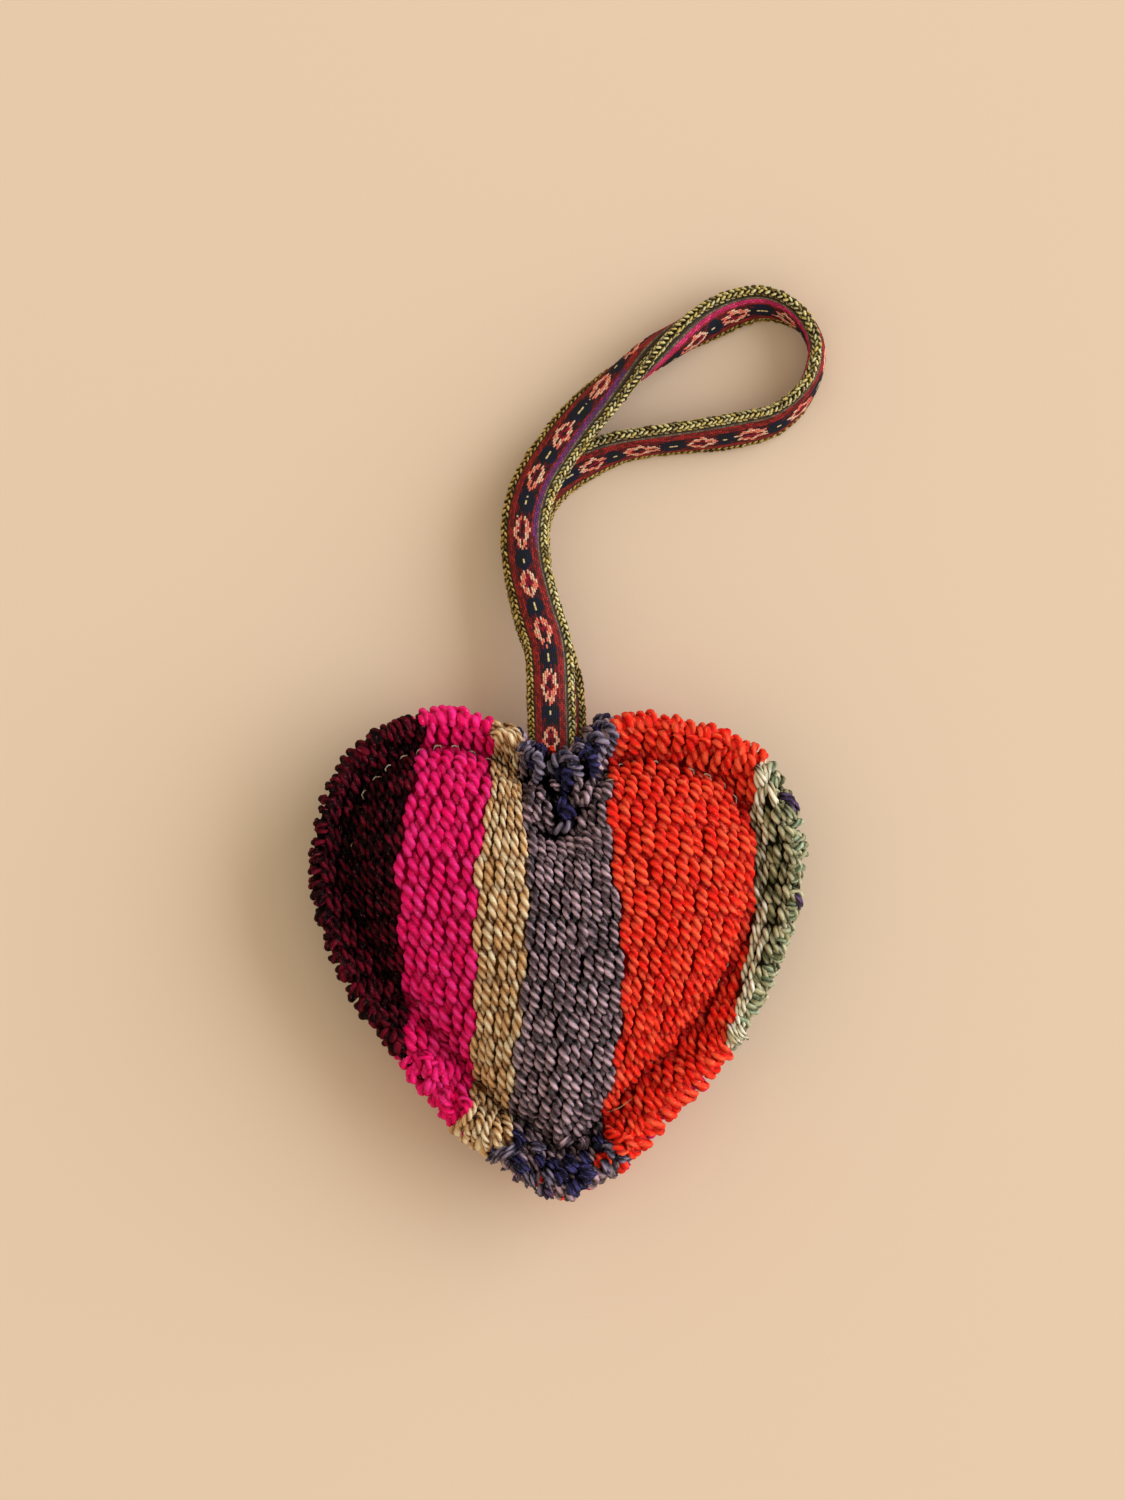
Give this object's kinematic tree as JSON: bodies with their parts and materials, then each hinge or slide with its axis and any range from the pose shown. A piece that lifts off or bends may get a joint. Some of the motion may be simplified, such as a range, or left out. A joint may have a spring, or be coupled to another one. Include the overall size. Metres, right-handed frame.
{
  "type": "wool heart charm",
  "caption": "Stuffed heart of striped hand-woven wool cloth, sewn inside its tufted cut edge, with a patterned woven strap looped out of the notch to hang it by.",
  "frame": {"origin": "middle of the flat patch on which the heart lies, on the underside of the back panel", "axes": "+X across the heart, to the right seen from the front, +Y from the tip towards the notch and strap, +Z out of the front, up as it lies"},
  "size_m": [0.1045, 0.1831, 0.0305],
  "materials": {
    "front_cloth": "thick hand-woven wool in broad stripes, matt and slightly hairy",
    "back_cloth": "the same wool cloth, darker at the back",
    "strap_band": "fine warp-patterned woven band with braided edges",
    "sewing_thread": "pale matt sewing thread",
    "maroon_yarn": "two-ply wool yarn, matt",
    "pink_yarn": "two-ply wool yarn, matt",
    "gold_yarn": "two-ply wool yarn, slight lustre",
    "grey_yarn": "two-ply wool yarn, matt",
    "red_yarn": "two-ply wool yarn, matt",
    "sage_yarn": "mottled green and cream two-ply wool yarn",
    "navy_yarn": "two-ply wool yarn at the cut edge, matt"
  },
  "bodies": {
    "root": {"front_panel": "front_cloth", "back_panel": "back_cloth", "strap": "strap_band", "seam_thread": "sewing_thread"}
  },
  "joints": []
}
